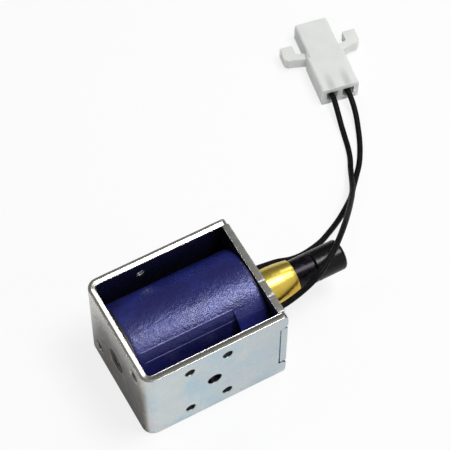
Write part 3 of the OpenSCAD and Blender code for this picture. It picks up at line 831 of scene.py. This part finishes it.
def tapeSkin(look):
    # Outer radius over (station, turn): the coil's radius, less the flat stretch's depth,
    # which runs out up a short ramp to the raised band, plus two thin crease ridges and a
    # fine waviness. The inner skin and the end rings close it.
    first, last = span("winding_tape")
    radius = radiusOf("winding_tape")
    band = look["bandStart"]
    rampStart, rampEnd = band - look["ramp"] - 0.4, band + 0.3
    station = np.unique(np.r_[np.linspace(first, rampStart, 60), np.linspace(rampStart, rampEnd, 18),
                              np.linspace(rampEnd, last, 22)])[:, None]
    fine = np.concatenate([np.linspace(crease - 1.4, crease + 1.4, 15) for crease in look["creases"]])
    degree = np.unique(np.round(np.r_[np.arange(0, 360, 1.5), fine], 3))
    turn = np.radians(degree)
    depth = np.interp(degree, creaseTurns, creaseDepths)
    share = np.clip((band - station) / (0.25 + look["ramp"] * depth / creaseDepths.max()), 0, 1)
    share = share * share * (3 - 2 * share)
    ridge = sum(np.exp(-((turn - radians(crease)) * radius / look["ridgeWidth"]) ** 2)
                for crease in look["creases"])
    ridge = ridge * share * np.clip((station - first) / 2, 0, 1)
    wave = ripple(station, turn * radius, 3, 5, 0.9, 24)
    skin = radius - look["waver"] - depth * share + look["ridge"] * ridge * 0.6
    skin = skin + look["waver"] * np.clip(wave, -1, 1) * 0.5
    # rounded shoulders at both ends
    toEnd = np.minimum(station - first, last - station)
    skin = skin - look["shoulder"] * np.clip(1 - toEnd / 0.25, 0, 1) ** 2
    inside = np.where(station < band, look["innerWinding"], look["innerBand"]) + 0 * skin
    radii = np.concatenate([skin, inside[::-1]])
    stations = np.concatenate([station, station[::-1]])
    points = np.stack([stations + 0 * radii, -radii * np.sin(turn), radii * np.cos(turn)], -1)
    # the painted shadow below the band's step, wider towards the front wall
    reach = 0.5 + 3.4 * np.clip((degree - 34) / 40, 0, 1)
    stepShadow = np.clip((station - band + 0.3 + reach) / 0.7, 0, 1) * (station < band) * (depth > 0.3)
    marks = {name: np.concatenate([values, 0 * skin])
             for name, values in {"crease": ridge, "dip": depth * share, "stepShadow": stepShadow}.items()}
    return points, ringFaces(len(radii), len(degree), True), marks


def tapeFinish(look):
    nodes = Finish("blue_tape", {"Specular IOR Level": 0.85, "Specular Tint": (0.6, 0.63, 1, 1)})
    step, noise, mark = nodes.step, nodes.noise, nodes.mark
    station = nodes.along("X")
    clouds = noise(5, 3, (0.5, 1, 1))
    mottle = noise(look["grain"], 3, (1, 1, 1), 0.6)
    # the dipped stretch is painted darker towards the band, as painted shade, and the band's step throws a
    # painted shadow
    dip = step(mark("dip"), 0.1, 0.8) * step(station, 3, 20, 0.1, 0.8)
    # duller towards the closed wall, with dabs that shine more than the rest
    dabs = step(noise(look["dabs"], 3, (1, 1, 1), 0.6), 0.35, 0.65, 0.06, -0.05)
    rough = 0.22 * (mottle - 0.5) + 0.08 * clouds + dabs + step(station, 26, 2, 0, 0.12)
    # the crease ridges are painted pale: a painted highlight along each ridge
    return nodes.surface(look, rough, mottle + 1.1 * noise(0.9, 2), bright=step(clouds, 0.35, 0.75),
                         pale=step(mark("crease"), 0.3, 0.9) * 0.8, shade=dip,
                         recess=mark("stepShadow") * 0.9)


tape = addMesh("taped_coil", *tapeSkin(tapeLook))
dress(tape, tapeFinish(tapeLook), "blue_tape", "winding_tape", angle=40)
print("coil taped")


# Return spring
springLook = {"wire": 0.35, "radius": 1.7, "turns": 9, "deadTurns": 0.8, "sides": 10,
              "perTurn": 28}


def springCoil(look):
    # A helix whose pitch closes up at both ends: the rise follows the sum of a pitch that
    # ramps up near the ends and is even between them. The wire's rings lie round it:
    # station and radius each swing by half the wire.
    half = look["wire"] / 2
    start, end = span("return_spring")
    share = np.linspace(0, 1, look["turns"] * look["perTurn"] + 1)
    dead = look["deadTurns"] / look["turns"]
    pitch = np.clip(np.minimum(share, 1 - share) / dead, 0.15, 1)
    rise = np.r_[0, np.cumsum((pitch[1:] + pitch[:-1]) / 2)]
    station = (start + half + (end - start - look["wire"]) * rise / rise[-1])[:, None]
    turn = (2 * pi * look["turns"] * share)[:, None]
    a = circle(look["sides"])
    radius = look["radius"] + half * np.cos(a)
    return rod(np.stack([station + half * np.sin(a), radius * np.cos(turn), radius * np.sin(turn)], -1))


spring = addMesh("return_coil", *springCoil(springLook))
dress(spring, brightSteel, "bright_steel", "return_spring", angle=50)
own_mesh(spring)


# Moulded and inner pieces
def dressedCopy(name, node, finish, slotName, bevel=0.0):
    # A merged copy of the node with its flats joined and its sharp edges rounded.
    piece = bpy.data.objects.new(name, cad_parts[node].data.copy())
    scene.collection.objects.link(piece)
    tidyMesh(piece.data, flat=True)
    if bevel:
        edge = piece.modifiers.new("edges", "BEVEL")
        edge.width, edge.segments = bevel * mm, 3
        edge.limit_method, edge.angle_limit = "ANGLE", radians(40)
        applyModifiers(piece)
    dress(piece, finish, slotName, node)
    return piece


nylonLook = {"colour": (0.80, 0.81, 0.78), "shade": (0.66, 0.68, 0.65),
             "wireShade": (0.40, 0.41, 0.41), "roughness": 0.36, "relief": 0.01}


def nylonFinish(look):
    nodes = Finish("natural_nylon", {"Subsurface Weight": 0.5, "Subsurface Scale": 0.002,
                                     "Subsurface Radius": (1, 1, 0.9), "IOR": 1.5})
    clouds = nodes.step(nodes.noise(3.5, 3), 0.35, 0.75)
    # the wires and crimps show darkly through the wall near the wire end
    place = nodes.place()
    turn = radians(plugPlace["turn"])
    dx, dy = (nodes.axis(place, name) - plugPlace[name.lower()] for name in "XY")
    across = dx * cos(turn) + dy * sin(turn)
    along = dy * cos(turn) - dx * sin(turn)
    gap = abs(abs(across) - plugPlace["pitch"] / 2)
    wires = nodes.step(gap, 1.5, 0.2) * nodes.step(along, 7.5, 1.0) * nodes.step(along, -0.5, 0.6)
    return nodes.surface(look, 0.12 * nodes.noise(0.8, 3), nodes.noise(0.6, 3),
                         shade=clouds * 0.25, wireShade=wires * 0.5)


naturalNylon = nylonFinish(nylonLook)
plug = dressedCopy("plug_shell", "plug_housing", naturalNylon, "natural_nylon", 0.18)
contacts = [dressedCopy("crimp_" + side, "contact_" + side, tinned, "tinned_brass", 0.05)
            for side in ("front", "rear")]
for side in ("front", "rear"):
    dressedCopy("held_lead_" + side, "lead_tail_" + side, blackPvc, "black_pvc")
    dressedCopy("moulded_bush_" + side, "lead_bush_" + side, naturalNylon, "natural_nylon", 0.06)

plasticLooks = {
    "black_nylon": {"colour": (0.012, 0.012, 0.014), "pale": (0.03, 0.03, 0.032),
                    "roughness": 0.4, "relief": 0.01},
    "shrink_sleeve": {"colour": (0.02, 0.02, 0.022), "pale": (0.05, 0.05, 0.055),
                      "roughness": 0.5, "relief": 0.01}}
windingLook = {"colour": (0.62, 0.24, 0.10), "dark": (0.42, 0.14, 0.06), "wire": 0.2,
               "roughness": 0.3, "relief": 0.04}
paperLook = {"colour": (0.72, 0.62, 0.40), "dark": (0.55, 0.45, 0.26), "roughness": 0.6,
             "relief": 0.02}


def plasticFinish(name):
    nodes, look = Finish(name, {"Specular IOR Level": 0.45}), plasticLooks[name]
    clouds = nodes.step(nodes.noise(1.5, 3), 0.4, 0.75)
    return nodes.surface(look, 0.15 * nodes.noise(0.4, 3), nodes.noise(0.3, 3), pale=clouds)


def windingFinish(look):
    # Enamelled wire laid turn on turn: round ribs along X.
    nodes = Finish("copper_wire", {"Metallic": 0.85, "Coat Weight": 0.5, "Coat Roughness": 0.15})
    angle = nodes.axis(nodes.place(), "X") * (2 * pi / look["wire"])
    ribs = angle.sum("SINE", angle)
    clouds = nodes.noise(2, 3)
    return nodes.surface(look, 0.15 * clouds, 0.5 + 0.5 * ribs, dark=clouds)


def paperFinish(look):
    nodes = Finish("paper_tape", {"Specular IOR Level": 0.3})
    fibres = nodes.noise(0.25, 3, (0.4, 1, 1))
    return nodes.surface(look, 0.2 * fibres, fibres, dark=fibres)


dressedCopy("moulded_bobbin", "bobbin", plasticFinish("black_nylon"), "black_nylon", 0.08)
sleeving = plasticFinish("shrink_sleeve")
inner = {"coil_winding": windingFinish(windingLook), "splice_wrap": paperFinish(paperLook),
         "residual_washer": brass, "splice_front": sleeving, "splice_rear": sleeving}
for node, finish in inner.items():
    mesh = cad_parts[node].data
    mesh.materials.clear()
    mesh.materials.append(finish)
print("moulded and inner pieces dressed")

addLead("front_lead", "lead_front", frontRoute)
addLead("rear_lead", "lead_rear", rearRoute)


# Floor and light
stageLook = {"floorColour": (0.93, 0.93, 0.93), "floorSize": 4.0, "whiteShare": 0.82,
             "glossShare": 0.05, "sky": (0.18, 0.185, 0.20), "horizon": (0.08, 0.078, 0.075)}
lamps = {
    "softbox_above": {"from": (0.16, -0.072, 0.53), "size": 0.20, "power": 2.1},
    "softbox_front": {"from": (0.25, -0.55, 0.30), "size": 0.55, "power": 0.6},
    "softbox_back": {"from": (0.347, 0.288, 0.471), "size": 0.12, "power": 0.26},
    "softbox_left": {"from": (-0.285, 0.215, 0.395), "size": 0.07, "power": 0.18},
}


def addFloor(look):
    nodes = Finish("floor", {"Base Color": (*look["floorColour"], 1), "Roughness": 0.9,
                             "Specular IOR Level": 0.1})
    share = nodes.ray("Camera") * look["whiteShare"] + nodes.ray("Glossy") * look["glossShare"]
    white = nodes.add("ShaderNodeEmission", values={"Color": (1, 1, 1, 1), "Strength": 1.0})
    both = nodes.add("ShaderNodeMixShader", values={
        0: share, 1: Wire(nodes, nodes.shader.outputs[0]), 2: white})
    nodes.tree.links.new(both.socket, nodes.tree.nodes["Material Output"].inputs["Surface"])
    half = look["floorSize"] / 2 / mm
    corners = [(-half, -half, 0), (half, -half, 0), (half, half, 0), (-half, half, 0)]
    floor = addMesh("floor", corners, [[0, 1, 2, 3]], origin=(0, 0, 0))
    floor.data.materials.append(nodes.material)


def addWorld(look):
    # White to the camera and through glass; to light and gloss a sky that darkens
    # towards the horizon.
    world = bpy.data.worlds.new("studio")
    world.use_nodes = True
    scene.world = world
    nodes = Nodes(world.node_tree)
    up = nodes.axis(nodes.add("ShaderNodeTexCoord", output="Generated"), "Z")
    tone = nodes.mix(nodes.step(up, 0.0, 0.75), look["horizon"], look["sky"])
    white = nodes.ray("Camera") + nodes.ray("Transmission") + nodes.ray("Glossy") * look["glossShare"]
    back = nodes.tree.nodes["Background"]
    nodes.tree.links.new(nodes.mix(white, tone, (1, 1, 1)).socket, back.inputs["Color"])
    back.inputs["Strength"].default_value = 1.0


def addLamp(name, lamp):
    light = bpy.data.lights.new(name, "AREA")
    light.shape, light.size, light.energy = "SQUARE", lamp["size"], lamp["power"]
    holder = bpy.data.objects.new(name, light)
    spot = Vector(lamp["from"])
    holder.matrix_world = Matrix.Translation(spot) @ spot.to_track_quat("Z", "Y").to_matrix().to_4x4()
    holder.visible_camera = False
    scene.collection.objects.link(holder)


addFloor(stageLook)
addWorld(stageLook)
for name, lamp in lamps.items():
    addLamp(name, lamp)
print("floor and light set")
